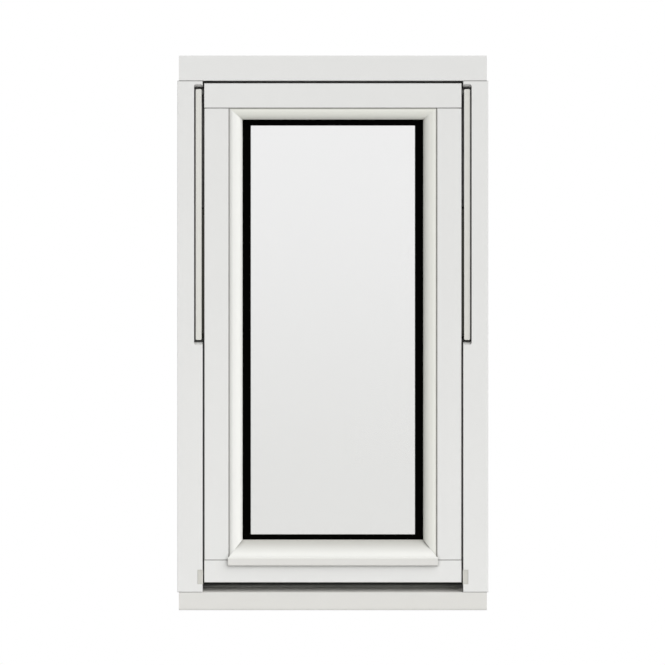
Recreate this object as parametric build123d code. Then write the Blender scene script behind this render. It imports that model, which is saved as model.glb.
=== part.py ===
# A painted timber pivot window in its frame, seen from outside along +Y.
# X runs along the sill, Z is up, and the origin is the middle of the sill's underside.
# The sash hangs on two side arms while a shoe at each top corner slides down a track in the jamb.
import math
import os

from build123d import *

# Frame
frame_width = 500.0
frame_depth = 115.0
head_height = 41.0
sill_height = 29.0
jamb_height = 830.0
jamb_width = 41.0
jamb_overhang = 2.4
stop_cover = 12.0
stop_gap = 5.5
sill_rise = 9.0
sill_stop_height = 24.0
timber_arris = 1.2
frame_joint_width = 0.7
sash_joint_width = 1.0
joint_depth = 2.5
drip_groove_width = 6.0
drip_groove_setback = 12.0
cut_overrun = 1.0

# Sash
sash_side_gap = 2.8
sash_head_gap = 4.0
sash_sill_gap = 16.0
sash_set_back = 2.0
sash_thickness = 56.0
top_rail_height = 40.0
stile_width = 39.5
bottom_rail_height = 36.0
rear_leg_width = 31.0
top_leg_height = 26.0
rear_leg_depth = 10.0
inner_bevel_width = 7.0
inner_bevel_depth = 6.0

# Beads
bead_depth = 16.0
side_bead_width = 22.5
top_bead_width = 19.0
bead_crest_share = 0.38
bead_crest_rise = 1.5
bead_edge_depth = 6.0
bead_quirk_depth = 4.0
bead_slope_bulge = 2.4
weather_slope_height = 28.5
weather_nose_height = 13.8
weather_nose_reach = 7.0
weather_nose_drop = 9.0
weather_end_overlap = 1.4
weather_round = 2.0
weather_edge = 5.0
weather_bulge = 2.4

# Glazing
gasket_depth = 3.0
gasket_bead_cover = 8.0
edge_show_side = 13.5
edge_show_top = 9.8
edge_show_foot = 8.8
pane_thickness = 4.0
spacer_depth = 16.0
spacer_cover = 1.0
tape_width = 12.0
glass_edge_gap = 5.0
setting_block_length = 60.0
setting_block_place_share = 0.5

# Jamb recess, track, arm and shoe
recess_width = 13.8
recess_depth = 30.0
recess_end_margin = 8.5
recess_run_out = 5.0
recess_run_depth = 9.0
track_top_drop = 9.6
track_width = 9.5
track_depth = 24.0
track_set_back = 3.0
track_side_gap = 1.7
track_wall = 2.0
track_lip = 3.5
shoe_top_margin = 5.4
shoe_length = 30.0
shoe_clearance = 0.3
pivot_end_margin = 11.5
pivot_radius = 4.0
pivot_clearance = 0.3
arm_thickness = 2.8
arm_width = 18.0
plate_thickness = 3.0
plate_width = 22.0
plate_end_margin = 12.0
rounded_corner = 2.0

# Guide block at each jamb's foot
guide_width = 8.9
guide_height = 23.5
guide_depth = 21.0
guide_stand_out = 0.6
guide_set_back = 0.8
guide_drop = 3.0

# Handle, bolts and keeps
handle_height = 24.0
rose_width = 64.0
rose_height = 28.0
rose_thickness = 6.0
rose_round_share = 0.48
lever_length = 112.0
lever_width = 17.0
lever_thickness = 9.0
lever_stand_off = 22.0
lever_taper_share = 0.75
neck_radius = 8.0
spindle_radius = 4.0
disc_radius = 10.0
disc_thickness = 6.0
bolt_radius = 4.0
bolt_clearance = 0.3
bolt_height = 16.0
bolt_setback = 30.0
bolt_inner_end = 16.0
bolt_throw = 14.0
bolt_end_gap = 1.0
keep_thickness = 1.5
keep_width = 20.0
keep_height = 40.0

# Frame seal and fixing holes
seal_width = 6.0
seal_proud = 2.2
fixing_radius = 5.0
fixing_setback = 23.5
fixing_spacing = 640.0

# Places worked out from the sizes above
front = -frame_depth / 2
back = frame_depth / 2
head_under = sill_height + jamb_height
jamb_outer = frame_width / 2 + jamb_overhang
jamb_inner = jamb_outer - jamb_width
sash_half = jamb_inner - sash_side_gap
sash_top = head_under - sash_head_gap
sash_bottom = sill_height + sash_sill_gap
sash_front = front + sash_set_back
sash_back = sash_front + sash_thickness
stop_front = sash_back + stop_gap
stop_inner = jamb_inner - stop_cover
rebate_half = sash_half - stile_width
rebate_top = sash_top - top_rail_height
rebate_bottom = sash_bottom + bottom_rail_height
leg_front = sash_back - rear_leg_depth
bead_back = sash_front + bead_depth
gasket_back = bead_back + gasket_depth
outer_pane_back = gasket_back + pane_thickness
spacer_back = outer_pane_back + spacer_depth
inner_pane_back = spacer_back + pane_thickness
glass_half = rebate_half - glass_edge_gap
glass_top = rebate_top - glass_edge_gap
glass_bottom = rebate_bottom + glass_edge_gap
bead_half = rebate_half - side_bead_width
bead_top = rebate_top - top_bead_width
weather_top = rebate_bottom - weather_nose_drop + weather_nose_height + weather_slope_height
track_top = sash_top - track_top_drop
shoe_pivot_z = track_top - shoe_top_margin
fixed_pivot_z = (sash_top + sash_bottom) / 2
arm_reach = (shoe_pivot_z - fixed_pivot_z) / 2
sash_pivot_z = fixed_pivot_z + arm_reach
track_bottom = fixed_pivot_z - pivot_end_margin
track_front = front + track_set_back
pivot_y = track_front + track_depth / 2
track_inner = jamb_inner + track_side_gap
track_outer = track_inner + track_width
arm_inner = (sash_half + track_inner - arm_thickness) / 2
arm_outer = arm_inner + arm_thickness
bolt_z = sash_bottom + bolt_height
bolt_y = sash_front + bolt_setback
handle_z = sash_bottom + handle_height

nodes = {}


def prism(points, direction, length):
    """A straight solid: a flat outline pushed along a direction."""
    return extrude(make_face(Polyline(*points, close=True)), amount=length, dir=direction)


def block(x0, x1, y0, y1, z0, z1):
    """A box between two corners."""
    corner = [(x0, y0, z0), (x1, y0, z0), (x1, y1, z0), (x0, y1, z0)]
    return prism(corner, (0, 0, 1), z1 - z0)


def along_x(section, half):
    """A section of (y, z) points run from -half to +half along the sill."""
    return prism([(-half, y, z) for y, z in section], (1, 0, 0), 2 * half)


def rod_x(radius, x0, x1, y, z):
    """A round bar along X."""
    return Pos((x0 + x1) / 2, y, z) * Rot(0, 90, 0) * Cylinder(radius, x1 - x0)


def rod_y(radius, y0, y1, x, z):
    """A round bar along Y."""
    return Pos(x, (y0 + y1) / 2, z) * Rot(90, 0, 0) * Cylinder(radius, y1 - y0)


def eased(solid, axis, radius, keep):
    """Round the long arrises that the test keeps."""
    edges = [edge for edge in solid.edges().filter_by(axis) if keep(edge.center())]
    return fillet(edges, radius)


def open_joints(x0, x1, y, z0, z1, width):
    """The narrow gaps that show in front at an upright's two ends."""
    low = block(x0 - cut_overrun, x1 + cut_overrun, y - cut_overrun, y + joint_depth, z0, z0 + width)
    return low + Pos(0, 0, z1 - z0 - width) * low


def both_sides(name, right):
    """Keep a right-hand piece and its mirror image."""
    nodes[name + "_right"] = right
    nodes[name + "_left"] = mirror(right, about=Plane.YZ)


# Frame head: a plank over the jambs with a stop along its back
def frame_head():
    plank = block(-frame_width / 2, frame_width / 2, front, back, head_under, head_under + head_height)
    plank = eased(plank, Axis.X, timber_arris, lambda c: c.Y < 0)
    stop = block(-stop_inner, stop_inner, stop_front, back, head_under - stop_cover, head_under)
    return plank + stop


# Frame sill: a plank with a weathered slope, an upstand and a drip groove under the front
def frame_sill():
    plank = block(-frame_width / 2, frame_width / 2, front, back, 0, sill_height)
    plank = eased(plank, Axis.X, timber_arris, lambda c: c.Y < 0)
    slope_top = (stop_front, sill_height + sill_rise)
    slope = along_x([(front + timber_arris, sill_height), (stop_front, sill_height), slope_top], jamb_inner)
    upstand = block(-stop_inner, stop_inner, stop_front, back, sill_height, sill_height + sill_stop_height)
    groove_y = front + drip_groove_setback
    groove = rod_x(drip_groove_width / 2, -frame_width, frame_width, groove_y, 0)
    return plank + slope + upstand - groove


# Frame jamb: timber with the track's recess, a mortise for the guide block, a bolt hole and fixing holes
def frame_jamb():
    timber = block(jamb_inner, jamb_outer, front, back, sill_height, head_under)
    timber = eased(timber, Axis.Z, timber_arris, lambda c: c.Y < front + timber_arris)
    timber -= open_joints(jamb_inner, jamb_outer, front, sill_height, head_under, frame_joint_width)
    seat = block(
        track_inner, jamb_inner + recess_width, track_front + track_depth, front + recess_depth, track_bottom,
        track_top,
    )
    recess = recess_form() - seat
    mortise = guide_form(0)
    hole_end = jamb_inner + 2 * bolt_throw
    hole = rod_x(bolt_radius + bolt_clearance, jamb_inner - cut_overrun, hole_end, bolt_y, bolt_z)
    return timber - recess - mortise - hole - keep_form() - fixing_holes()


def recess_form():
    """A routed slot with rounded corners, whose ends slope down to its floor."""
    low = track_bottom - recess_end_margin
    high = track_top + recess_end_margin
    floor = front + recess_depth
    slot = block(jamb_inner, jamb_inner + recess_width, front, floor, low, high)
    slot = eased(slot, Axis.Y, recess_end_margin / 2, lambda c: True)
    turn = front + recess_run_depth
    inner_low = low + recess_run_out
    inner_high = high - recess_run_out
    lower = [(front, low), (turn, inner_low), (floor, inner_low)]
    upper = [(floor, inner_high), (turn, inner_high), (front, high)]
    return slot & along_x(lower + upper, frame_width)


def fixing_holes():
    """Two screw holes through the jamb and its stop into the wall, set back from the stop's front."""
    z = sill_height + (jamb_height - fixing_spacing) / 2
    y = stop_front + fixing_setback
    low = rod_x(fixing_radius, stop_inner - cut_overrun, jamb_outer + cut_overrun, y, z)
    return low + Pos(0, 0, fixing_spacing) * low


# Jamb stop: a strip planted on the jamb behind the sash
def jamb_stop():
    return block(stop_inner, jamb_inner, stop_front, back, sill_height, head_under) - fixing_holes()


# Guide block: a small rounded plastic block let into the jamb's foot
def guide_form(set_back):
    inner = jamb_inner - guide_stand_out
    low = sash_bottom - guide_drop
    return block(inner, inner + guide_width, front + set_back, front + guide_depth, low, low + guide_height)


def guide_block():
    return eased(guide_form(guide_set_back), Axis.Z, guide_stand_out, lambda c: c.Y < front + guide_depth / 2)


# Keep plate: a thin plate let into the jamb round the bolt's hole
def keep_form():
    low = bolt_z - keep_height / 2
    return block(
        jamb_inner, jamb_inner + keep_thickness, bolt_y - keep_width / 2, bolt_y + keep_width / 2, low,
        low + keep_height,
    )


def keep_plate():
    hole_end = jamb_inner + bolt_throw
    hole = rod_x(bolt_radius + bolt_clearance, jamb_inner - cut_overrun, hole_end, bolt_y, bolt_z)
    return keep_form() - hole


# Slide track: a lipped channel open to the sash, its front wall shows in the recess
def slide_track():
    outer = block(track_inner, track_outer, track_front, track_front + track_depth, track_bottom, track_top)
    outer = eased(outer, Axis.Y, rounded_corner, lambda c: True)
    channel = block(
        track_inner + track_wall, track_outer - track_wall, track_front + track_wall,
        track_front + track_depth - track_wall, track_bottom - cut_overrun, track_top + cut_overrun,
    )
    mouth_edge = track_wall + track_lip
    mouth = block(
        track_inner - cut_overrun, track_inner + track_wall + cut_overrun, track_front + mouth_edge,
        track_front + track_depth - mouth_edge, track_bottom - cut_overrun, track_top + cut_overrun,
    )
    return outer - channel - mouth


# Pivot post: a block at the foot of the track with the pin that the arm turns on
def pivot_post():
    low = track_bottom + rounded_corner
    high = fixed_pivot_z + pivot_end_margin
    foot = block(
        track_inner + track_wall, track_outer - track_wall, track_front + track_wall,
        track_front + track_depth - track_wall, low, high,
    )
    return foot + rod_x(pivot_radius, arm_inner, track_inner + track_wall, pivot_y, fixed_pivot_z)


# Side arm: a flat bar with round ends between the fixed pivot and the sash
def pivot_arm():
    bar = block(
        arm_inner, arm_outer, pivot_y - arm_width / 2, pivot_y + arm_width / 2, fixed_pivot_z, sash_pivot_z,
    )
    for z in (fixed_pivot_z, sash_pivot_z):
        bar += rod_x(arm_width / 2, arm_inner, arm_outer, pivot_y, z)
    for z in (fixed_pivot_z, sash_pivot_z):
        bar -= rod_x(pivot_radius + pivot_clearance, arm_inner, arm_outer, pivot_y, z)
    return bar


# Sliding shoe: a block in the channel, a neck through its mouth and a pin into the hinge plate
def slide_shoe():
    inside = track_inner + track_wall + shoe_clearance
    low = shoe_pivot_z + shoe_top_margin - shoe_length
    body = block(
        inside, track_outer - track_wall - shoe_clearance, track_front + track_wall + shoe_clearance,
        track_front + track_depth - track_wall - shoe_clearance, low, track_top,
    )
    body = eased(body, Axis.X, rounded_corner, lambda c: True)
    reach = track_depth / 2 - track_wall - track_lip - shoe_clearance
    neck = rod_x(reach, arm_inner, inside, pivot_y, shoe_pivot_z)
    pin = rod_x(pivot_radius, sash_half - plate_thickness + pivot_clearance, arm_inner, pivot_y, shoe_pivot_z)
    return body + neck + pin


# Hinge plate: a steel strip let into the stile's edge, with the stud for the arm and the shoe's hole
def plate_form():
    return block(
        sash_half - plate_thickness, sash_half, pivot_y - plate_width / 2, pivot_y + plate_width / 2,
        sash_pivot_z - plate_end_margin, shoe_pivot_z + plate_end_margin,
    )


def hinge_plate():
    plate = eased(plate_form(), Axis.X, rounded_corner, lambda c: True)
    plate += rod_x(pivot_radius, sash_half, arm_outer, pivot_y, sash_pivot_z)
    hole = rod_x(pivot_radius + pivot_clearance, sash_half - plate_width, sash_half, pivot_y, shoe_pivot_z)
    return plate - hole


# Sash timber: full-width rails and the stiles between them, each with a leg behind the glass
def sash_rail(z0, z1, leg0, leg1):
    rail = block(-sash_half, sash_half, sash_front, sash_back, z0, z1)
    leg = block(-rebate_half, rebate_half, leg_front, sash_back, leg0, leg1)
    return eased(rail, Axis.X, timber_arris, lambda c: c.Y < sash_front + timber_arris) + leg


def inner_bevel():
    """The sloped cut round the glass on the room side."""
    half = rebate_half - rear_leg_width
    low = rebate_bottom + rear_leg_width
    high = rebate_top - top_leg_height
    faces = []
    for y, grow in ((sash_back - inner_bevel_depth, 0), (sash_back, inner_bevel_width)):
        top = high + grow
        side = half + grow
        foot = low - grow
        points = [(side, y, top), (-side, y, top), (-side, y, foot), (side, y, foot)]
        faces.append(make_face(Polyline(*points, close=True)))
    return loft(faces)


def top_rail():
    rail = sash_rail(rebate_top, sash_top, rebate_top - top_leg_height, rebate_top)
    housing = plate_form()
    return rail - housing - mirror(housing, about=Plane.YZ) - inner_bevel()


def bottom_rail():
    rail = sash_rail(sash_bottom, rebate_bottom, rebate_bottom, rebate_bottom + rear_leg_width)
    bore = rod_x(bolt_radius + bolt_clearance, -sash_half, sash_half, bolt_y, bolt_z)
    pocket = rod_y(
        disc_radius + bolt_clearance, bolt_y - disc_thickness, bolt_y + disc_thickness, 0, handle_z,
    )
    spindle_hole = rod_y(spindle_radius + bolt_clearance, bolt_y, sash_back, 0, handle_z)
    return rail - bore - pocket - spindle_hole - inner_bevel()


def stile():
    low = rebate_bottom
    timber = block(rebate_half, sash_half, sash_front, sash_back, low, rebate_top)
    timber = eased(timber, Axis.Z, timber_arris, lambda c: c.Y < sash_front + timber_arris)
    timber -= open_joints(rebate_half, sash_half, sash_front, rebate_bottom, rebate_top, sash_joint_width)
    leg = block(
        rebate_half - rear_leg_width, rebate_half, leg_front, sash_back, low + rear_leg_width,
        rebate_top - top_leg_height,
    )
    return timber + leg - plate_form() - inner_bevel()


# Glazing bead: a quirk, a roll up to a crest and a full slope to the glass, cut to a mitre at its ends
def bead_lines(width, place):
    """The section's edges: u runs from the timber to the glass, v from the glass outwards."""
    crest = (width * bead_crest_share, bead_depth + bead_crest_rise)
    foot = (0, bead_depth - bead_quirk_depth)
    edge = (width, bead_edge_depth)
    turn = math.pi / 4
    roll = (crest[0] * (1 - math.cos(turn)), foot[1] + (crest[1] - foot[1]) * math.sin(turn))
    slope = ((crest[0] + edge[0]) / 2 + bead_slope_bulge, (crest[1] + edge[1]) / 2 + bead_slope_bulge)
    lines = Polyline(place(*edge), place(width, 0), place(0, 0), place(*foot)).edges()
    lines += [ThreePointArc(place(*foot), place(*roll), place(*crest)).edge()]
    lines += [ThreePointArc(place(*crest), place(*slope), place(*edge)).edge()]
    return lines


def bead_solid(width, place, direction, length):
    """A bead run along a direction, with place turning (u, v) into a point."""
    return extrude(make_face(bead_lines(width, place)), amount=length, dir=direction)


def mitre(outline):
    """A block through the sash with an outline of (x, z) points."""
    points = [(x, bead_back, z) for x, z in outline]
    return prism(points, (0, -1, 0), bead_depth + weather_nose_reach)


def top_bead():
    half = rebate_half
    bead = bead_solid(
        top_bead_width, lambda u, v: (-half, bead_back - v, rebate_top - u), (1, 0, 0), 2 * half,
    )
    outline = [(-half, rebate_top), (half, rebate_top), (bead_half, bead_top), (-bead_half, bead_top)]
    return bead & mitre(outline)


def side_bead():
    foot = weather_top - weather_slope_height
    bead = bead_solid(
        side_bead_width, lambda u, v: (rebate_half - u, bead_back - v, foot), (0, 0, 1), rebate_top - foot,
    )
    half = rebate_half
    outline = [(half, foot), (half, rebate_top), (bead_half, bead_top), (bead_half, weather_top)]
    return bead & mitre(outline)


# Weather bead: a full slope that throws rain off a nose, with a throat under it
def weather_bead():
    nose_top = weather_top - weather_slope_height
    nose_bottom = nose_top - weather_nose_height
    nose_front = sash_front - weather_nose_reach
    edge_y = bead_back - weather_edge
    start = (edge_y, weather_top)
    finish = (nose_front + weather_round, nose_top)
    crown = ((start[0] + finish[0]) / 2 - weather_bulge, (start[1] + finish[1]) / 2 + weather_bulge)
    half = rebate_half
    at = -half
    slope_points = [(edge_y, weather_top), (bead_back, weather_top), (bead_back, nose_top), finish]
    lines = Polyline(*[(at, y, z) for y, z in slope_points]).edges()
    lines += [ThreePointArc((at, *finish), (at, *crown), (at, *start)).edge()]
    slope = extrude(make_face(lines), amount=2 * half, dir=(1, 0, 0))
    outline = [(-half, nose_top), (half, nose_top), (bead_half, weather_top), (-bead_half, weather_top)]
    slope = slope & mitre(outline)
    nose_half = half + weather_end_overlap
    nose = block(-nose_half, nose_half, nose_front, sash_front, nose_bottom, nose_top)
    nose = eased(nose, Axis.X, weather_round, lambda c: c.Y < nose_front + weather_round)
    throat = rod_x(weather_round, -frame_width, frame_width, nose_front + weather_nose_reach / 2, nose_bottom)
    seat = block(-half, half, sash_front, bead_back, rebate_bottom, nose_top)
    return slope + nose + seat - throat


# Glazing: two panes on a black spacer, a gasket in front and a tape behind
def ring(half, low, high, width_side, width_low, width_high, y0, y1):
    """A flat rectangular frame."""
    outer = block(-half, half, y0, y1, low, high)
    inner_half = half - width_side
    return outer - block(-inner_half, inner_half, y0, y1, low + width_low, high - width_high)


def glazing_gasket():
    half = bead_half + gasket_bead_cover
    low = weather_top - gasket_bead_cover
    high = bead_top + gasket_bead_cover
    side = gasket_bead_cover + edge_show_side
    top = gasket_bead_cover + edge_show_top
    foot = gasket_bead_cover + edge_show_foot
    return ring(half, low, high, side, foot, top, bead_back, gasket_back)


def spacer_bar():
    side = glass_half - (bead_half - edge_show_side) - spacer_cover
    low = weather_top + edge_show_foot - glass_bottom - spacer_cover
    high = glass_top - (bead_top - edge_show_top) - spacer_cover
    return ring(glass_half, glass_bottom, glass_top, side, low, high, outer_pane_back, spacer_back)


def glazing_tape():
    width = tape_width
    return ring(glass_half, glass_bottom, glass_top, width, width, width, inner_pane_back, leg_front)


def pane(y0):
    return block(-glass_half, glass_half, y0, y0 + pane_thickness, glass_bottom, glass_top)


def setting_blocks():
    blocks = []
    for side in (-1, 1):
        x = side * glass_half * setting_block_place_share
        half = setting_block_length / 2
        blocks.append(block(x - half, x + half, gasket_back, inner_pane_back, rebate_bottom, glass_bottom))
    return Compound(children=blocks)


# Frame seal: a soft strip round the stops that the sash closes on
def frame_seal():
    middle = stop_cover / 2
    half = jamb_inner - middle + seal_width / 2
    low = sill_height + sill_stop_height - middle - seal_width / 2
    high = head_under - middle + seal_width / 2
    return ring(half, low, high, seal_width, seal_width, seal_width, stop_front - seal_proud, stop_front)


# Handle: a rose on the sash, a cranked lever, and a spindle with the disc that drives the bolts
def handle_rose():
    plate = block(
        -rose_width / 2, rose_width / 2, sash_back, sash_back + rose_thickness, handle_z - rose_height / 2,
        handle_z + rose_height / 2,
    )
    plate = eased(plate, Axis.Y, rose_height * rose_round_share, lambda c: True)
    rim = plate.faces().sort_by(Axis.Y)[-1].edges()
    plate = fillet(rim, rounded_corner)
    return plate - rod_y(neck_radius + bolt_clearance, sash_back, back, 0, handle_z)


def handle_lever():
    grip_front = sash_back + lever_stand_off
    grip_back = grip_front + lever_thickness
    neck = rod_y(neck_radius, sash_back + bolt_clearance, grip_back, 0, handle_z)
    root = lever_width / 2
    tip = root * lever_taper_share
    outline = [
        (0, handle_z - root), (lever_length - tip, handle_z - tip), (lever_length - tip, handle_z + tip),
        (0, handle_z + root),
    ]
    grip = prism([(x, grip_front, z) for x, z in outline], (0, 1, 0), lever_thickness)
    grip += rod_y(tip, grip_front, grip_back, lever_length - tip, handle_z)
    grip += rod_y(root, grip_front, grip_back, 0, handle_z)
    ends = grip.faces().sort_by(Axis.Y)
    grip = fillet(ends[0].edges() + ends[-1].edges(), rounded_corner)
    socket = rod_y(spindle_radius, sash_back + bolt_clearance, grip_front, 0, handle_z)
    return neck + grip - socket


def handle_spindle():
    shaft = rod_y(spindle_radius, bolt_y, sash_back + lever_stand_off, 0, handle_z)
    disc = rod_y(disc_radius, bolt_y - disc_thickness / 2, bolt_y + disc_thickness / 2, 0, handle_z)
    return shaft + disc


# Lock bolt: a round bar in the bottom rail that slides into the jamb
def lock_bolt():
    return rod_x(bolt_radius, bolt_inner_end, sash_half - bolt_end_gap, bolt_y, bolt_z)


nodes["frame_head"] = frame_head()
nodes["frame_sill"] = frame_sill()
both_sides("frame_jamb", frame_jamb())
both_sides("jamb_stop", jamb_stop())
nodes["frame_seal"] = frame_seal()
both_sides("guide_block", guide_block())
both_sides("keep_plate", keep_plate())
both_sides("slide_track", slide_track())
both_sides("pivot_post", pivot_post())
both_sides("pivot_arm", pivot_arm())
both_sides("slide_shoe", slide_shoe())
both_sides("hinge_plate", hinge_plate())
nodes["sash_top_rail"] = top_rail()
nodes["sash_bottom_rail"] = bottom_rail()
both_sides("sash_stile", stile())
nodes["glazing_bead_top"] = top_bead()
both_sides("glazing_bead", side_bead())
nodes["weather_bead"] = weather_bead()
nodes["glazing_gasket"] = glazing_gasket()
nodes["outer_pane"] = pane(gasket_back)
nodes["spacer_bar"] = spacer_bar()
nodes["inner_pane"] = pane(spacer_back)
nodes["glazing_tape"] = glazing_tape()
nodes["setting_blocks"] = setting_blocks()
nodes["handle_rose"] = handle_rose()
nodes["handle_lever"] = handle_lever()
nodes["handle_spindle"] = handle_spindle()
both_sides("lock_bolt", lock_bolt())

os.makedirs("parts", exist_ok=True)
for name, solid in nodes.items():
    export_step(solid, f"parts/{name}.step")
    print(name, round(solid.volume / 1000.0, 1))
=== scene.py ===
# %% [markdown]
# A painted timber pivot window, seen square-on from outside.
# The frame, sash, beads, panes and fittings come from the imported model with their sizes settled.
# This lesson gives each of them its finish, adds the small things that a fitter would see, such as screw heads,
# pin caps and a soft bulb seal, and lights the window as a plain product picture.

# %% Load the window
import math

import bpy
import numpy as np
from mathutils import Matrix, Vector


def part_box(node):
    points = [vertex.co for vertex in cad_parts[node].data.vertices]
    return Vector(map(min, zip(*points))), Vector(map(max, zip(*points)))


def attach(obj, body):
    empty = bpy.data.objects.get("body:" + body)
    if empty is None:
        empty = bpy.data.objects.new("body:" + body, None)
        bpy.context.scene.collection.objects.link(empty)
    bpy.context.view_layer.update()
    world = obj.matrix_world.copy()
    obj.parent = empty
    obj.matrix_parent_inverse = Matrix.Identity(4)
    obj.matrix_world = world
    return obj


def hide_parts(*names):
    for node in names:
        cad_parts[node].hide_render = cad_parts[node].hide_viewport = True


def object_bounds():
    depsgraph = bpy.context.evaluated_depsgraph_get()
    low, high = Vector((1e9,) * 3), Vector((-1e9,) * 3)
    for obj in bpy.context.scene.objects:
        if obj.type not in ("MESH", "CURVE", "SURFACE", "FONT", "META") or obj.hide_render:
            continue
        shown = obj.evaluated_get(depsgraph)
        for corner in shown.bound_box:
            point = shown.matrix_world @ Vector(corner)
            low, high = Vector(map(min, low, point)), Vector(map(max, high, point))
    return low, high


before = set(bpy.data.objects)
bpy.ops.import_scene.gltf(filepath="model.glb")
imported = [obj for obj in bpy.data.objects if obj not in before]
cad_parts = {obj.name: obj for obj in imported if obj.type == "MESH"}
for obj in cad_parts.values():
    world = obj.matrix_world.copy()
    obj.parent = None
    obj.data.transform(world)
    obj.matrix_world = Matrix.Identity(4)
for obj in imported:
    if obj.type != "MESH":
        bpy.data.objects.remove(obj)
cad_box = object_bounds()
scene = bpy.context.scene
scene.view_settings.view_transform = "Standard"
MILLIMETRE = 0.001
print("nodes", len(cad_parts), "box", cad_box)

# %% [markdown]
# Paint grain, painted shade in corners and painted shade along an axis all change slowly over the window.
# Each material could hold its own copy of these effects.
# Here three shared node groups make them, because then one change of grain or painted shade reaches every piece at
# once.

# %% Group helpers
def new_group(name, inputs, outputs):
    """A shader node group with named sockets: inputs as (name, kind, value), outputs as (name, kind)."""
    group = bpy.data.node_groups.new(name, "ShaderNodeTree")
    for socket, kind, value in inputs:
        made = group.interface.new_socket(socket, in_out="INPUT", socket_type=kind)
        made.default_value = value
    for socket, kind in outputs:
        group.interface.new_socket(socket, in_out="OUTPUT", socket_type=kind)
    start = group.nodes.new("NodeGroupInput")
    end = group.nodes.new("NodeGroupOutput")
    return group, start, end


def add(tree, kind, **settings):
    """Add a node and set its plain properties."""
    node = tree.nodes.new(kind)
    for key, value in settings.items():
        setattr(node, key, value)
    return node


print("group helpers ready")

# %% [markdown]
# Nearly every effect is a noise, a change of its range and a little arithmetic.
# Such nodes can be wired one by one, but a helper for each keeps a recipe readable as a formula.

# %% Texture helpers
def noise(tree, vector, scale, detail=3.0, roughness=0.5):
    """A noise texture on given coordinates."""
    node = add(tree, "ShaderNodeTexNoise")
    node.inputs["Scale"].default_value = scale
    node.inputs["Detail"].default_value = detail
    node.inputs["Roughness"].default_value = roughness
    tree.links.new(vector, node.inputs["Vector"])
    return node.outputs["Fac"]


def ramp(tree, value, low, high):
    """Carry a value from 0..1 onto low..high."""
    node = add(tree, "ShaderNodeMapRange")
    node.inputs["To Min"].default_value = low
    node.inputs["To Max"].default_value = high
    tree.links.new(value, node.inputs["Value"])
    return node.outputs["Result"]


def math_node(tree, operation, first, second):
    """One arithmetic step on two values, each a socket or a number."""
    node = add(tree, "ShaderNodeMath", operation=operation)
    for socket, value in zip(node.inputs, (first, second)):
        if isinstance(value, (int, float)):
            socket.default_value = value
        else:
            tree.links.new(value, socket)
    return node.outputs["Value"]


print("texture helpers ready")

# %% [markdown]
# Painted softwood keeps a trace of its grain: long faint ridges along the piece, under the peel of sprayed paint.
# A wood texture of rings would be too strong under three coats of paint.
# So a noise stretched along the grain gives the ridges, and a finer one gives the peel.

# %% Painted grain group
RIDGE_SCALE, RIDGE_DETAIL, RIDGE_ROUGHNESS = 420.0, 4.0, 0.55
PEEL_SCALE, PEEL_SHARE = 900.0, 0.35
PATCH_SCALE = 9.0
SATIN_LOW, SATIN_HIGH = 0.34, 0.5
SOFT_DETAIL = 2.0


def painted_grain():
    """Height = long stretched noise plus fine peel; tone = slow patches about 1."""
    sockets_in = [("Grain Scale", "NodeSocketVector", (1.0, 1.0, 1.0)), ("Tone Spread", "NodeSocketFloat", 0.02)]
    sockets_out = [("Tone", "NodeSocketFloat"), ("Roughness", "NodeSocketFloat"), ("Height", "NodeSocketFloat")]
    group, start, end = new_group("painted_grain", sockets_in, sockets_out)
    place = add(group, "ShaderNodeTexCoord")
    scaled = add(group, "ShaderNodeVectorMath", operation="MULTIPLY")
    group.links.new(place.outputs["Object"], scaled.inputs[0])
    group.links.new(start.outputs["Grain Scale"], scaled.inputs[1])
    ridges = noise(group, scaled.outputs["Vector"], RIDGE_SCALE, RIDGE_DETAIL, RIDGE_ROUGHNESS)
    peel = noise(group, place.outputs["Object"], PEEL_SCALE, SOFT_DETAIL)
    patches = noise(group, place.outputs["Object"], PATCH_SCALE, SOFT_DETAIL)
    height = math_node(group, "ADD", ridges, math_node(group, "MULTIPLY", peel, PEEL_SHARE))
    centred = math_node(group, "SUBTRACT", patches, 0.5)
    tone = math_node(group, "ADD", math_node(group, "MULTIPLY", centred, start.outputs["Tone Spread"]), 1.0)
    group.links.new(tone, end.inputs["Tone"])
    group.links.new(ramp(group, peel, SATIN_LOW, SATIN_HIGH), end.inputs["Roughness"])
    group.links.new(height, end.inputs["Height"])
    return group


PAINTED_GRAIN = painted_grain()
print("group", PAINTED_GRAIN.name)

# %% [markdown]
# Shade falls in quirks, joints and recesses, and here it is painted into the colour as painted shade.
# A mask of corners can be baked or painted, but ambient occlusion inside the material finds them by itself.
# Its reach stays at a few millimetres, so that the open faces keep their plain colour.

# %% Corner shade group (painted shade)
SHADE_SAMPLES = 8
SPECKLE_SCALE, SPECKLE_LOW = 60.0, 0.6


def corner_shade():
    """Painted shade mask = closeness of nearby surfaces, times a noise that breaks it up, times Amount."""
    sockets_in = [("Reach", "NodeSocketFloat", 0.006), ("Amount", "NodeSocketFloat", 0.3)]
    group, start, end = new_group("corner_shade", sockets_in, [("Mask", "NodeSocketFloat")])
    near = add(group, "ShaderNodeAmbientOcclusion", samples=SHADE_SAMPLES)
    group.links.new(start.outputs["Reach"], near.inputs["Distance"])
    closed = math_node(group, "SUBTRACT", 1.0, near.outputs["AO"])
    place = add(group, "ShaderNodeTexCoord")
    broken = ramp(group, noise(group, place.outputs["Object"], SPECKLE_SCALE), SPECKLE_LOW, 1.0)
    mask = math_node(group, "MULTIPLY", math_node(group, "MULTIPLY", closed, broken), start.outputs["Amount"])
    group.links.new(mask, end.inputs["Mask"])
    return group


CORNER_SHADE = corner_shade()
print("group", CORNER_SHADE.name)
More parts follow.
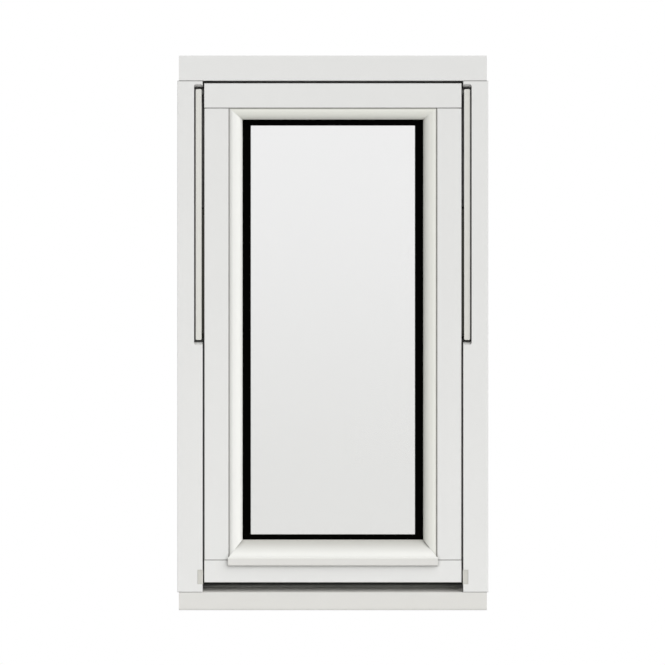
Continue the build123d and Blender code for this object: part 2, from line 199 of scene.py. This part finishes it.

# %% [markdown]
# Painted light and shade that changes slowly along one axis lies on the glass and on the slope under it.
# Under the sash, a dark painted shadow lies on the back of the sill.
# A painted mask would need a map for each piece, so a group turns a point's place along an axis into a mask.

# %% Painted shade reach group
UPWARD = (0.0, 0.0, 1.0)
INWARD = (0.0, 1.0, 0.0)


def painted_shade_reach():
    """Mask = how far a point has come along Axis from Low, 0, to High, 1, eased at both ends."""
    limits = [("Low", "NodeSocketFloat", 0.0), ("High", "NodeSocketFloat", 1.0)]
    sockets_in = [("Axis", "NodeSocketVector", UPWARD)] + limits
    group, start, end = new_group("painted_shade_reach", sockets_in, [("Mask", "NodeSocketFloat")])
    place = add(group, "ShaderNodeTexCoord")
    along = add(group, "ShaderNodeVectorMath", operation="DOT_PRODUCT")
    reach = add(group, "ShaderNodeMapRange", interpolation_type="SMOOTHSTEP")
    group.links.new(place.outputs["Object"], along.inputs[0])
    group.links.new(start.outputs["Axis"], along.inputs[1])
    group.links.new(along.outputs["Value"], reach.inputs["Value"])
    group.links.new(start.outputs["Low"], reach.inputs["From Min"])
    group.links.new(start.outputs["High"], reach.inputs["From Max"])
    group.links.new(reach.outputs["Result"], end.inputs["Mask"])
    return group


PAINTED_SHADE_REACH = painted_shade_reach()
print("group", PAINTED_SHADE_REACH.name)

# %% [markdown]
# Every finish below is one Principled surface with its varying colour, gloss and height linked in.
# Colours are written as they look on a screen, so a helper turns them into the linear values of light.

# %% Colour helpers
def linear(red, green, blue):
    """Screen colour, 0..255, to linear light by the sRGB curve: a straight foot, then a power of 2.4."""
    screen = np.array([red, green, blue]) / 255.0
    return np.where(screen <= 0.04045, screen / 12.92, ((screen + 0.055) / 1.055) ** 2.4)


def rgba(colour):
    """A colour with full cover."""
    return (*[float(part) for part in colour], 1.0)


def tinted(tree, colour, tone):
    """A colour times a varying tone."""
    mix = add(tree, "ShaderNodeMix", data_type="RGBA", blend_type="MULTIPLY")
    mix.inputs["Factor"].default_value = 1.0
    mix.inputs["A"].default_value = rgba(colour)
    tree.links.new(tone, mix.inputs["B"])
    return mix.outputs["Result"]


def shaded_over(tree, colour_socket, dust_colour, mask):
    """A colour with painted shade laid over it by a mask."""
    mix = add(tree, "ShaderNodeMix", data_type="RGBA")
    tree.links.new(mask, mix.inputs["Factor"])
    tree.links.new(colour_socket, mix.inputs["A"])
    mix.inputs["B"].default_value = rgba(dust_colour)
    return mix.outputs["Result"]


print("mid grey in linear light", linear(128, 128, 128).round(3))

# %% [markdown]
# A material starts empty, takes in the shared groups with its own values, and ends in a bump on the normal.
# Helpers for these three steps keep the materials short enough to read side by side.

# %% Material helpers
def new_material(name):
    """An empty material with one Principled surface."""
    material = bpy.data.materials.new(name)
    material.use_nodes = True
    tree = material.node_tree
    return material, tree, tree.nodes["Principled BSDF"]


def place_group(tree, group, **values):
    """Put a shared group into a material with its own values."""
    node = add(tree, "ShaderNodeGroup", node_tree=group)
    for key, value in values.items():
        node.inputs[key.replace("_", " ")].default_value = value
    return node


def painted_shade_mask(tree, limits):
    """The product of the masks of all limits, each an axis and the places where the film starts and is full."""
    mask = 1.0
    for axis, start, full in limits:
        reach = place_group(tree, PAINTED_SHADE_REACH, Axis=axis, Low=start, High=full)
        mask = math_node(tree, "MULTIPLY", reach.outputs["Mask"], mask)
    return mask


def bumped(tree, surface, height, strength, distance):
    """A bump from a height, put on the surface's normal."""
    bump = add(tree, "ShaderNodeBump")
    bump.inputs["Strength"].default_value = strength
    bump.inputs["Distance"].default_value = distance
    tree.links.new(height, bump.inputs["Height"])
    tree.links.new(bump.outputs["Normal"], surface.inputs["Normal"])


print("material helpers ready")

# %% [markdown]
# The timber is sprayed in a satin warm white.
# Rails have their grain along X and stiles along Z, so one recipe makes both by turning the grain's stretch.
# Painted shade along an axis is laid on first, and the painted shade in corners goes over it.

# %% Painted timber recipe
PAINT = linear(228, 228, 226)
# Dark grey of the painted shade in corners, joints and gaps.
CORNER_SHADE_COLOUR = linear(76, 75, 68)
TONE_SPREAD = 0.03
GRAIN_STRENGTH, GRAIN_DEPTH = 0.12, 0.15 * MILLIMETRE
PAINT_SHEEN = 0.4


def painted_timber(name, grain, colour=PAINT, painted_shades=(), reach=6.0, amount=0.85):
    """Satin paint, grain along an axis, with a list of painted shades, each a colour and its limits; reach is in mm.
    """
    material, tree, surface = new_material(name)
    coat = place_group(tree, PAINTED_GRAIN, Grain_Scale=grain, Tone_Spread=TONE_SPREAD)
    corner_shading = place_group(tree, CORNER_SHADE, Reach=reach * MILLIMETRE, Amount=amount)
    colour_socket = tinted(tree, colour, coat.outputs["Tone"])
    for shade_colour, *limits in painted_shades:
        colour_socket = shaded_over(tree, colour_socket, shade_colour, painted_shade_mask(tree, limits))
    tree.links.new(shaded_over(tree, colour_socket, CORNER_SHADE_COLOUR, corner_shading.outputs["Mask"]), surface.inputs["Base Color"])
    tree.links.new(coat.outputs["Roughness"], surface.inputs["Roughness"])
    bumped(tree, surface, coat.outputs["Height"], GRAIN_STRENGTH, GRAIN_DEPTH)
    surface.inputs["Specular IOR Level"].default_value = PAINT_SHEEN
    return material


print("paint", PAINT.round(3), "corner_shading", CORNER_SHADE_COLOUR.round(3))

# %% [markdown]
# Three painted shades lie on the paint: a dark painted shadow under the sash on the back of the sill's slope,
# painted shade on the weather bead's slope, darker towards the glass, and a duller painted shade on its nose's face.
# Each could be a painted texture, but limits along an axis keep them in place: boxes of pieces give some limits,
# and heights above the sill's underside give the rest.

# %% Painted shade films
stop_face = float(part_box("jamb_stop_right")[0][1])
slope_low, slope_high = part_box("weather_bead")
NOSE_HEIGHT = 13.8 * MILLIMETRE
nose_top = float(slope_low[2]) + NOSE_HEIGHT
SHELTERED = (UPWARD, 36.0 * MILLIMETRE, 43.0 * MILLIMETRE)
LOW_DOWN = (UPWARD, 60.0 * MILLIMETRE, 48.0 * MILLIMETRE)
OUTSIDE = (INWARD, stop_face + 1.0 * MILLIMETRE, stop_face + 0.5 * MILLIMETRE)
ON_SLOPE = (UPWARD, nose_top - 1.0 * MILLIMETRE, float(slope_high[2]))
ON_NOSE = (UPWARD, nose_top, nose_top - 3.0 * MILLIMETRE)
# Painted shadow under the sash, painted shade on the slope near the glass, painted shade on the nose's face.
SHADOW_UNDER_SASH = (linear(40, 40, 33), SHELTERED, OUTSIDE, LOW_DOWN)
SLOPE_SHADE = (linear(196, 195, 189), ON_SLOPE)
NOSE_SHADE = (linear(221, 220, 216), ON_NOSE)
print("slope film from", round(ON_SLOPE[1], 4), "to", round(ON_SLOPE[2], 4))

# %% [markdown]
# Lit and shaded copies of the same white are painted on: a painted highlight on the left bead and the weather slope,
# painted shade on the top and right beads and on the sill.
# One paint with a mask for all of that would be hard to follow, so a table gives each group of pieces its own tone.

# %% Paints
ACROSS = (0.03, 1.0, 1.0)
UPRIGHT = (1.0, 1.0, 0.03)
PAINTS = {
    "paint_grain_across": dict(grain=ACROSS),
    "paint_grain_upright": dict(grain=UPRIGHT),
    "painted_track": dict(grain=UPRIGHT, colour=linear(219, 218, 212)),
    # Painted highlight: the left bead is painted brighter, as if lit.
    "lit_bead_paint": dict(grain=UPRIGHT, colour=linear(238, 238, 234), reach=2.5, amount=0.5),
    # Painted shade: the top and right beads are painted duller.
    "top_bead_paint": dict(grain=ACROSS, colour=linear(223, 223, 215)),
    "side_bead_paint": dict(grain=UPRIGHT, colour=linear(224, 224, 217)),
    # Painted shade: the sill is painted duller, with a painted shadow under the sash.
    "sill_paint": dict(grain=ACROSS, colour=linear(219, 218, 214), painted_shades=(SHADOW_UNDER_SASH,), amount=0.3),
    "stop_paint": dict(grain=UPRIGHT, painted_shades=(SHADOW_UNDER_SASH,)),
    # Painted highlight: the weather slope is painted brighter, with painted shade over it.
    "weather_slope_paint": dict(grain=ACROSS, colour=linear(242, 242, 238), painted_shades=(SLOPE_SHADE, NOSE_SHADE)),
}
for paint_name, choices in PAINTS.items():
    painted_timber(paint_name, **choices)
print("paints", list(PAINTS))

# %% [markdown]
# Plastic blocks and the weather seal are matt, with a fine moulded skin.
# A flat grey would look cut from card, so a fine noise drives both the gloss and the bump of the skin.

# %% Moulded plastic and rubber
SKIN_SCALE, SKIN_DEPTH, SKIN_STRENGTH = 1400.0, 0.05 * MILLIMETRE, 0.1
SKIN_TONE_SCALE, SKIN_TONE_LOW, SKIN_TONE_HIGH = 40.0, 0.9, 1.05
SKIN_SHADE_REACH, SKIN_SHADE_AMOUNT = 3.0 * MILLIMETRE, 0.12
PLASTIC_SHEEN = 0.3


def moulded(name, colour, low, high):
    """A matt moulded skin: gloss runs from low to high with a fine noise that also gives the bump."""
    material, tree, surface = new_material(name)
    place = add(tree, "ShaderNodeTexCoord")
    skin = noise(tree, place.outputs["Object"], SKIN_SCALE, SOFT_DETAIL)
    # A little painted shade darkens the skin in its corners.
    corner_shading = place_group(tree, CORNER_SHADE, Reach=SKIN_SHADE_REACH, Amount=SKIN_SHADE_AMOUNT)
    tone = ramp(tree, noise(tree, place.outputs["Object"], SKIN_TONE_SCALE), SKIN_TONE_LOW, SKIN_TONE_HIGH)
    colour_socket = tinted(tree, colour, tone)
    tree.links.new(shaded_over(tree, colour_socket, CORNER_SHADE_COLOUR, corner_shading.outputs["Mask"]), surface.inputs["Base Color"])
    tree.links.new(ramp(tree, skin, low, high), surface.inputs["Roughness"])
    bumped(tree, surface, skin, SKIN_STRENGTH, SKIN_DEPTH)
    surface.inputs["Specular IOR Level"].default_value = PLASTIC_SHEEN
    return material


SEAL_RUBBER = moulded("weather_seal_rubber", linear(30, 30, 29), 0.6, 0.75)
moulded("guide_block_plastic", linear(206, 205, 198), 0.45, 0.6)
moulded("shoe_plastic", linear(110, 110, 108), 0.4, 0.55)
print("moulded skins ready")

# %% [markdown]
# The black edge round the glass is a rubber gasket, with a spacer bar behind it: both stay black in full light.
# Rubber with ordinary sheen turns grey there, so this skin has almost none, and one noise for its gloss and bump.

# %% Black rubber
BLACK = linear(3, 3, 2)
BLACK_SCALE, BLACK_SHEEN = 900.0, 0.01
BLACK_GLOSS_LOW, BLACK_GLOSS_HIGH = 0.6, 0.8


def black_skin(name):
    """A near-black skin of one colour, with one noise for its gloss and its bump."""
    material, tree, surface = new_material(name)
    place = add(tree, "ShaderNodeTexCoord")
    skin = noise(tree, place.outputs["Object"], BLACK_SCALE, SOFT_DETAIL)
    surface.inputs["Base Color"].default_value = rgba(BLACK)
    tree.links.new(ramp(tree, skin, BLACK_GLOSS_LOW, BLACK_GLOSS_HIGH), surface.inputs["Roughness"])
    bumped(tree, surface, skin, SKIN_STRENGTH, SKIN_DEPTH)
    surface.inputs["Specular IOR Level"].default_value = BLACK_SHEEN
    return material


for black_name in ("black_glazing_rubber", "black_spacer_bar"):
    black_skin(black_name)
print("black skins ready")

# %% [markdown]
# Bolts and keeps are zinc-plated steel, the arms and plates have a dark coat, and the handle is satin metal.
# Zinc shows soft cloudy patches, and satin metal shows fine lines from its brushing.
# All three come from one recipe, because they differ only in tone, gloss and the way the lines run.

# %% Metals
LINE_SCALE, LINE_ROUGHNESS = 700.0, 0.6
LINE_STRENGTH, LINE_DEPTH = 0.08, 0.03 * MILLIMETRE
CLOUD_SCALE, CLOUD_LOW, CLOUD_HIGH = 80.0, 0.88, 1.06
DRAWN_UPRIGHT = (1.0, 1.0, 0.1)
BRUSHED_ACROSS = (0.06, 1.0, 1.0)


def stretched(tree, scale):
    """Object coordinates stretched by a scale for each axis."""
    place = add(tree, "ShaderNodeTexCoord")
    mapping = add(tree, "ShaderNodeMapping")
    mapping.inputs["Scale"].default_value = scale
    tree.links.new(place.outputs["Object"], mapping.inputs["Vector"])
    return mapping.outputs["Vector"]


def plated(name, colour, low, high, stretch):
    """Metal with stretched lines in its gloss, from low to high, and cloudy patches in its colour."""
    material, tree, surface = new_material(name)
    lines = noise(tree, stretched(tree, stretch), LINE_SCALE, roughness=LINE_ROUGHNESS)
    place = add(tree, "ShaderNodeTexCoord")
    cloud = ramp(tree, noise(tree, place.outputs["Object"], CLOUD_SCALE), CLOUD_LOW, CLOUD_HIGH)
    tree.links.new(tinted(tree, colour, cloud), surface.inputs["Base Color"])
    tree.links.new(ramp(tree, lines, low, high), surface.inputs["Roughness"])
    bumped(tree, surface, lines, LINE_STRENGTH, LINE_DEPTH)
    surface.inputs["Metallic"].default_value = 1.0
    return material


plated("dark_coated_steel", linear(58, 57, 53), 0.4, 0.6, DRAWN_UPRIGHT)
ZINC = plated("zinc_plate", linear(196, 198, 200), 0.3, 0.5, DRAWN_UPRIGHT)
SATIN_METAL = plated("satin_handle_metal", linear(205, 205, 203), 0.22, 0.36, BRUSHED_ACROSS)
print("metals ready")

# %% [markdown]
# The panes are clear float glass.
# Seen from outside they look pale grey, a little darker towards the foot, a painted gradient of reflected light.
# The gradient is a slow change of the glass's own colour with height, so it stays in place from any view.

# %% Glass
SMEAR_SCALE, SMEAR_HIGH = 12.0, 0.02
GLASS_INDEX = 1.45


def float_glass(name, top_colour, foot_colour):
    """Clear glass whose tint, a painted gradient of reflected light, runs from its foot to its top."""
    low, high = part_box("outer_pane")
    material, tree, surface = new_material(name)
    place = add(tree, "ShaderNodeTexCoord")
    height = place_group(tree, PAINTED_SHADE_REACH, Low=float(low[2]), High=float(high[2]))
    painted_tint = add(tree, "ShaderNodeMix", data_type="RGBA")
    painted_tint.inputs["A"].default_value = rgba(foot_colour)
    painted_tint.inputs["B"].default_value = rgba(top_colour)
    tree.links.new(height.outputs["Mask"], painted_tint.inputs["Factor"])
    tree.links.new(painted_tint.outputs["Result"], surface.inputs["Base Color"])
    smear = noise(tree, place.outputs["Object"], SMEAR_SCALE)
    tree.links.new(ramp(tree, smear, 0.0, SMEAR_HIGH), surface.inputs["Roughness"])
    surface.inputs["Transmission Weight"].default_value = 1.0
    surface.inputs["IOR"].default_value = GLASS_INDEX
    return material


float_glass("clear_float_glass", linear(246, 246, 246), linear(239, 239, 238))
print("glass ready")

# %% [markdown]
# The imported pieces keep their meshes, so each one only needs its finish.
# A table from finish to piece names is easier to check than a chain of tests.

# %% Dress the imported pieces
SIDES = ("left", "right")


def pair(*names):
    """Left and right names of mirrored pieces."""
    return [f"{name}_{side}" for name in names for side in SIDES]


FINISHES = {
    "paint_grain_across": ["frame_head", "sash_top_rail", "sash_bottom_rail"],
    "paint_grain_upright": pair("frame_jamb", "sash_stile"),
    "stop_paint": pair("jamb_stop"),
    "sill_paint": ["frame_sill"],
    "top_bead_paint": ["glazing_bead_top"],
    "lit_bead_paint": ["glazing_bead_left"],
    "side_bead_paint": ["glazing_bead_right"],
    "weather_slope_paint": ["weather_bead"],
    "painted_track": pair("slide_track"),
    "guide_block_plastic": pair("guide_block"),
    "shoe_plastic": pair("slide_shoe") + ["setting_blocks"],
    "dark_coated_steel": pair("pivot_post", "pivot_arm", "hinge_plate"),
    "zinc_plate": pair("keep_plate", "lock_bolt") + ["handle_spindle"],
    "satin_handle_metal": ["handle_rose", "handle_lever"],
    "black_glazing_rubber": ["glazing_gasket", "glazing_tape"],
    "black_spacer_bar": ["spacer_bar"],
    "clear_float_glass": ["outer_pane", "inner_pane"],
}
for finish, names in FINISHES.items():
    for name in names:
        piece = bpy.data.objects[name]
        piece.data.materials.clear()
        piece.data.materials.append(bpy.data.materials[finish])
print("dressed", sum(len(names) for names in FINISHES.values()), "pieces")

# %% [markdown]
# A fitter sees screws on every plate: shallow domes with a cross pressed into them.
# A bought model would be heavy, so one height formula over a disc gives the dome and the cross together.
# A pin's cap is the same disc with a plainer formula.

# %% Dome heights
CROSS_HALF, CROSS_EDGE = 0.15, 0.05
CROSS_REACH, CROSS_END = 0.6, 0.08
CROSS_DEPTH = 1.5


def crossed_dome(x, y):
    """Dome = 1 - r squared, less a cross where the nearer axis is close and the middle is near."""
    reach = np.hypot(x, y)
    narrow = np.minimum(np.abs(x), np.abs(y))
    beside = np.clip((CROSS_HALF - narrow) / CROSS_EDGE, 0.0, 1.0)
    along = np.clip((CROSS_REACH - reach) / CROSS_END, 0.0, 1.0)
    return 1.0 - reach**2 - CROSS_DEPTH * beside * along


def plain_dome(x, y):
    """Dome = 1 - r to the fourth, flat in the middle and quick at the rim."""
    return 1.0 - np.hypot(x, y) ** 4


print("cross floor", crossed_dome(np.array(0.0), np.array(0.0)), "cap top", plain_dome(0.0, 0.0))

# %% [markdown]
# A disc is a grid of rings and steps: two rings for its sunk wall, the rest over its top.
# The middle of the grid would leave a hole, so a fan of triangles closes it, and another closes the bottom.

# %% Disc surfaces
UP = np.array(UPWARD)
SEGMENTS = 64
TOP_RINGS = 24
RINGS = TOP_RINGS + 2
OUTER_SHARE, INNER_SHARE = 0.96, 0.04


def disc_surface(centre, outward, radius, rise, sink, height):
    """Rings from a sunk rim to the middle: centre + radius * share * (cos, sin) + rise * height * outward."""
    across = np.cross(UP, outward)
    share = np.concatenate([[1.0, 1.0], np.linspace(OUTER_SHARE, INNER_SHARE, TOP_RINGS)])
    angle = np.linspace(0.0, 2.0 * np.pi, SEGMENTS, endpoint=False)
    x = share[:, None] * np.cos(angle)
    y = share[:, None] * np.sin(angle)
    lift = rise * height(x, y)
    lift[0] = -sink
    lift[1] = 0.0
    points = centre + radius * (x[..., None] * across + y[..., None] * UP) + lift[..., None] * outward
    poles = centre + np.array([[-sink], [lift[-1].mean()]]) * outward
    return np.concatenate([points.reshape(-1, 3), poles])


def disc_faces():
    """Squares between neighbouring rings, and two fans that close the bottom and the middle."""
    ring, step = np.meshgrid(np.arange(RINGS - 1), np.arange(SEGMENTS), indexing="ij")
    after = (step + 1) % SEGMENTS
    rings = np.stack([ring, ring, ring + 1, ring + 1], -1)
    squares = rings * SEGMENTS + np.stack([step, after, after, step], -1)
    turn = np.arange(SEGMENTS)
    ahead = np.roll(turn, -1)
    last = (RINGS - 1) * SEGMENTS
    bottom = np.stack([np.full(SEGMENTS, RINGS * SEGMENTS), ahead, turn], -1)
    middle_fan = np.stack([last + turn, last + ahead, np.full(SEGMENTS, RINGS * SEGMENTS + 1)], -1)
    return squares.reshape(-1, 4), np.concatenate([bottom, middle_fan])


print("disc faces", [len(faces) for faces in disc_faces()])

# %% [markdown]
# Screws of one kind ride on one body and never move apart, so they are one mesh.
# Separate objects would also work, but one mesh is lighter and rides its body in one step.

# %% Studded meshes
SINK = 0.2 * MILLIMETRE


def studded(name, places, radius, rise, height, body, material):
    """One mesh of equal discs: places lists their centres and the ways they face."""
    discs = [disc_surface(np.array(centre), way, radius, rise, SINK, height) for centre, way in places]
    first = np.arange(len(discs))[:, None, None] * len(discs[0])
    squares, fans = disc_faces()
    faces = (squares + first).reshape(-1, 4).tolist() + (fans + first).reshape(-1, 3).tolist()
    mesh = bpy.data.meshes.new(name)
    mesh.from_pydata(np.concatenate(discs).tolist(), [], faces)
    mesh.shade_smooth()
    mesh.materials.append(material)
    made = bpy.data.objects.new(name, mesh)
    scene.collection.objects.link(made)
    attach(made, body)
    return made


print("stud points each", RINGS * SEGMENTS + 2)

# %% [markdown]
# The rose is screwed to the room side of the sash, the keeps to the jambs and the hinge plates to the stiles.
# Each place starts from the box of the piece that the screw holds, so that it follows a change of the model.

# %% Screw and cap places
RIGHT, LEFT, ROOM = np.array([[1.0, 0, 0], [-1.0, 0, 0], [0, 1.0, 0]])
BOTH = (1.0, -1.0)
ROSE_SPREAD = 23.0 * MILLIMETRE
KEEP_SPREAD = 14.0 * MILLIMETRE
ARM_END = 9.0 * MILLIMETRE
PLATE_PARTS = 5

rose_low, rose_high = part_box("handle_rose")
rose_z = float(rose_low[2] + rose_high[2]) / 2
keep_low, keep_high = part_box("keep_plate_right")
keep_y, keep_z = float(keep_low[1] + keep_high[1]) / 2, float(keep_low[2] + keep_high[2]) / 2
plate_low, plate_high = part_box("hinge_plate_right")
plate_y = float(plate_low[1] + plate_high[1]) / 2
stile_face = float(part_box("sash_stile_right")[1][0])
arm_low, arm_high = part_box("pivot_arm_right")
arm_inside, arm_outside = float(arm_low[0]), float(arm_high[0])
pin_low, pin_high = float(arm_low[2]) + ARM_END, float(arm_high[2]) - ARM_END
plate_heights = np.linspace(pin_high, float(plate_high[2]), PLATE_PARTS)[1:-1]
keep_heights = (keep_z - KEEP_SPREAD, keep_z + KEEP_SPREAD)

rose_screws = [((x, float(rose_high[1]), rose_z), ROOM) for x in (-ROSE_SPREAD, ROSE_SPREAD)]
keep_screws = [((side * float(keep_low[0]), keep_y, z), LEFT * side) for side in BOTH for z in keep_heights]
plate_screws = [((side * stile_face, plate_y, float(z)), RIGHT * side) for side in BOTH for z in plate_heights]
post_caps = [((side * arm_inside, plate_y, pin_low), LEFT * side) for side in BOTH]
stud_caps = [((side * arm_outside, plate_y, pin_high), RIGHT * side) for side in BOTH]
print("pins at", round(pin_low, 4), round(pin_high, 4), "plate screws at", plate_heights.round(4))

# %% [markdown]
# Screw heads differ only in radius and rise, and the caps of the arms' pins are wider and plain.
# They stand half a millimetre proud, or one on the rose, which is enough to catch the light.

# %% Screw heads and pin caps
DOME = 0.5 * MILLIMETRE
ROSE_RADIUS, KEEP_RADIUS, PLATE_RADIUS = 3.8 * MILLIMETRE, 3.6 * MILLIMETRE, 4.2 * MILLIMETRE
CAP_RADIUS = 6.2 * MILLIMETRE
added = [
    studded("rose_screws", rose_screws, ROSE_RADIUS, 2 * DOME, crossed_dome, "sash", SATIN_METAL),
    studded("keep_screws", keep_screws, KEEP_RADIUS, DOME, crossed_dome, "frame", ZINC),
    studded("plate_screws", plate_screws, PLATE_RADIUS, DOME, crossed_dome, "sash", ZINC),
    studded("post_caps", post_caps, CAP_RADIUS, DOME, plain_dome, "frame", ZINC),
    studded("stud_caps", stud_caps, CAP_RADIUS, DOME, plain_dome, "sash", ZINC),
]
print("added", {piece.name: len(piece.data.polygons) for piece in added})

# %% [markdown]
# The weather seal is a soft bulb in the stops, which the sash closes against.
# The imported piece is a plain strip, so a round section is carried round the same rectangle, mitred at its corners.

# %% Bulb seal
SEAL_WIDTH = 6.0 * MILLIMETRE
SEAL_STEPS = 24
BULB_POWER = 0.7


def bulb_seal(width, around):
    """Section: across = width / 2 * cos, lift = depth * sin to a power, set at four mitred corners."""
    low, high = (np.array(corner, float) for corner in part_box("frame_seal"))
    angle = np.linspace(0.0, np.pi, around)
    across = width / 2 * np.cos(angle)
    lift = (high[1] - low[1]) * np.sin(angle) ** BULB_POWER
    ways = np.array([[1, 1], [-1, 1], [-1, -1], [1, -1]], float)
    middle_xz = np.array([(low[0] + high[0]) / 2, (low[2] + high[2]) / 2])
    half_xz = np.array([(high[0] - low[0]) / 2, (high[2] - low[2]) / 2]) - width / 2
    flat = middle_xz + ways[:, None, :] * (half_xz + across[None, :, None])
    depth = np.broadcast_to(high[1] - lift, flat.shape[:2])
    points = np.stack([flat[..., 0], depth, flat[..., 1]], -1)
    corner, step = np.meshgrid(np.arange(len(ways)) * around, np.arange(around), indexing="ij")
    beside, after = np.roll(corner, -1, 0), np.roll(step, -1, 1)
    faces = np.stack([corner + step, beside + step, beside + after, corner + after], -1)
    mesh = bpy.data.meshes.new("bulb_seal")
    mesh.from_pydata(points.reshape(-1, 3).tolist(), [], faces.reshape(-1, 4).tolist())
    mesh.materials.append(SEAL_RUBBER)
    made = bpy.data.objects.new("bulb_seal", mesh)
    scene.collection.objects.link(made)
    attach(made, "frame")
    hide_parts("frame_seal")
    return made


seal = bulb_seal(SEAL_WIDTH, SEAL_STEPS)
print("seal faces", len(seal.data.polygons))

# %% [markdown]
# The picture is a square-on elevation on white, with no sign of perspective.
# A very long lens would come close, and an orthographic camera gives exactly that view.

# %% Camera
IMAGE_PIXELS = 665
WINDOW_PIXELS = 554.6
CAMERA_LEFT, CAMERA_LIFT = 0.6 * MILLIMETRE, 0.5 * MILLIMETRE
CAMERA_DISTANCE = 3.0
low, high = (np.array(corner) for corner in cad_box)
tall = float(high[2] - low[2])
camera_data = bpy.data.cameras.new("elevation_camera")
camera_data.type = "ORTHO"
camera_data.ortho_scale = tall * IMAGE_PIXELS / WINDOW_PIXELS
camera = bpy.data.objects.new("elevation_camera", camera_data)
scene.collection.objects.link(camera)
camera.location = (-CAMERA_LEFT, -CAMERA_DISTANCE, tall / 2 + CAMERA_LIFT)
camera.rotation_euler = (math.radians(90), 0.0, 0.0)
scene.camera = camera
print("camera scale", camera_data.ortho_scale)

# %% [markdown]
# The beads show where the light comes from: slopes that face right and up are brighter than the flat timber.
# One near lamp would fade across the window, so the key is a broad sun, as strong at the sill as at the head.
# Two large area lamps fill the shaded side and the room behind.

# %% Lamps
LAMP_SIDE = 1.6
SUN_SPREAD = 70.0
LAMPS = [
    # kind, name, place, power, spread
    ("SUN", "key_sun", (1.5, -1.95, 2.15), 1.84, SUN_SPREAD),
    ("AREA", "fill_lamp", (-1.0, -3.2, 1.0), 5.0, LAMP_SIDE),
    ("AREA", "room_lamp", (0.4, 2.4, 1.8), 12.0, LAMP_SIDE),
]


def turned_to(aim):
    """Angles that turn a lamp's own -Z along an aim: tilt from straight down, then swing about Z."""
    tilt = math.acos(-aim[2] / np.linalg.norm(aim))
    return (tilt, 0.0, math.atan2(aim[1], aim[0]) - math.pi / 2)


def light(kind, name, place, target, power, spread):
    """A lamp at a place, turned to a target: spread is an area lamp's side or a sun's angle."""
    data = bpy.data.lights.new(name, kind)
    data.energy = power
    if kind == "SUN":
        data.angle = math.radians(spread)
    else:
        data.size = spread
    made = bpy.data.objects.new(name, data)
    made.location = place
    made.rotation_euler = turned_to(np.array(target) - np.array(place))
    scene.collection.objects.link(made)
    return made


middle = (0.0, 0.0, tall / 2)
lamps = [light(kind, name, place, middle, power, spread) for kind, name, place, power, spread in LAMPS]
print("lamps", [lamp.name for lamp in lamps])

# %% [markdown]
# The background is pure white, but a world as bright as that would wash out every shadow.
# A dim world with a white card behind the window would do for this view, but the card would show in the others.
# So the world is dim as a light, and white only where the camera, a mirror or a pane looks straight at it.

# %% Sky
WHITE = (1.0, 1.0, 1.0, 1.0)
SKY_STRENGTH = 0.42
world = bpy.data.worlds.new("white_studio")
scene.world = world
world.use_nodes = True
sky = world.node_tree
sky_light = sky.nodes["Background"]
sky_light.inputs["Color"].default_value = WHITE
sky_light.inputs["Strength"].default_value = SKY_STRENGTH
seen = add(sky, "ShaderNodeBackground")
seen.inputs["Color"].default_value = WHITE
seen.inputs["Strength"].default_value = 1.0
path = add(sky, "ShaderNodeLightPath")
straight = math_node(sky, "MAXIMUM", path.outputs["Is Camera Ray"], path.outputs["Is Transmission Ray"])
either = math_node(sky, "MAXIMUM", straight, path.outputs["Is Glossy Ray"])
choice = add(sky, "ShaderNodeMixShader")
sky.links.new(either, choice.inputs["Fac"])
sky.links.new(sky_light.outputs["Background"], choice.inputs[1])
sky.links.new(seen.outputs["Background"], choice.inputs[2])
sky.links.new(choice.outputs["Shader"], sky.nodes["World Output"].inputs["Surface"])
print("sky strength", SKY_STRENGTH)

# %% [markdown]
# The floor is a plain pale sheet just under the sill, so that the window casts a shadow in the other views.
# A curved backdrop would do the same, but it would show behind the panes.

# %% Floor
FLOOR_HALF = 4.0
FLOOR_DROP = 0.2 * MILLIMETRE
FLOOR_COLOUR = linear(240, 240, 240)
FLOOR_ROUGHNESS = 0.8


def floor_sheet(half, z):
    """A flat square at one height."""
    corners = np.array([(-half, -half, z), (half, -half, z), (half, half, z), (-half, half, z)])
    mesh = bpy.data.meshes.new("studio_floor")
    mesh.from_pydata(corners.tolist(), [], [(0, 1, 2, 3)])
    made = bpy.data.objects.new("studio_floor", mesh)
    scene.collection.objects.link(made)
    return made


floor_height = float(low[2]) - FLOOR_DROP
floor = floor_sheet(FLOOR_HALF, floor_height)
floor_paint, _, floor_surface = new_material("pale_floor")
floor_surface.inputs["Base Color"].default_value = rgba(FLOOR_COLOUR)
floor_surface.inputs["Roughness"].default_value = FLOOR_ROUGHNESS
floor.data.materials.append(floor_paint)
print("floor at", round(floor_height, 4))
